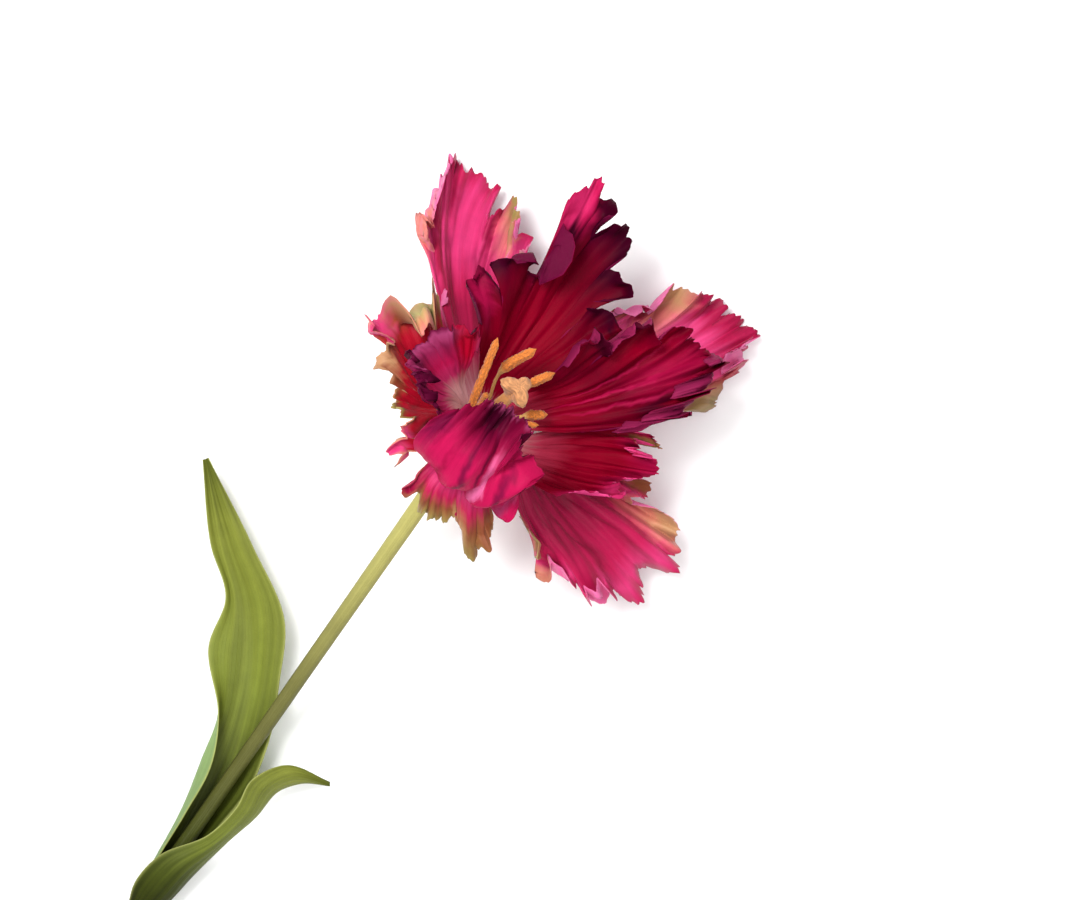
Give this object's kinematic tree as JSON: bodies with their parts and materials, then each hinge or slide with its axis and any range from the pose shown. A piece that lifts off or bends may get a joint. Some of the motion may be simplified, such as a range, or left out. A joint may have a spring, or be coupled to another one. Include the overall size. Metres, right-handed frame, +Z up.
{
  "type": "parrot tulip",
  "caption": "Cut parrot tulip lying on its side: an open bloom with fringed, ruffled petals on a long stem with clasping leaves.",
  "frame": {"origin": "middle of the footprint, on the surface that the flower lies on", "axes": "+X along the stem towards the bloom, +Y to the stem's left seen from above, +Z up"},
  "size_m": [0.3228, 0.1597, 0.0895],
  "materials": {
    "outer_petal": "satin",
    "inner_petal": "satin",
    "leaf": "satin",
    "stem": "satin",
    "pistil": "matte",
    "anther": "matte"
  },
  "bodies": {
    "root": {"stem": "stem", "leaf_tall": "leaf", "leaf_low": "leaf", "petal_outer_left": "outer_petal", "petal_outer_right": "outer_petal", "petal_outer_front": "outer_petal", "petal_outer_side": "outer_petal", "petal_outer_stem": "outer_petal", "petal_inner_back": "inner_petal", "petal_inner_right": "inner_petal", "petal_inner_front": "inner_petal", "petal_inner_near": "inner_petal", "petal_inner_side": "inner_petal", "pistil": "pistil", "stamen_1": "anther", "stamen_2": "anther", "stamen_3": "anther", "stamen_4": "anther", "stamen_5": "anther", "stamen_6": "anther"}
  },
  "joints": []
}
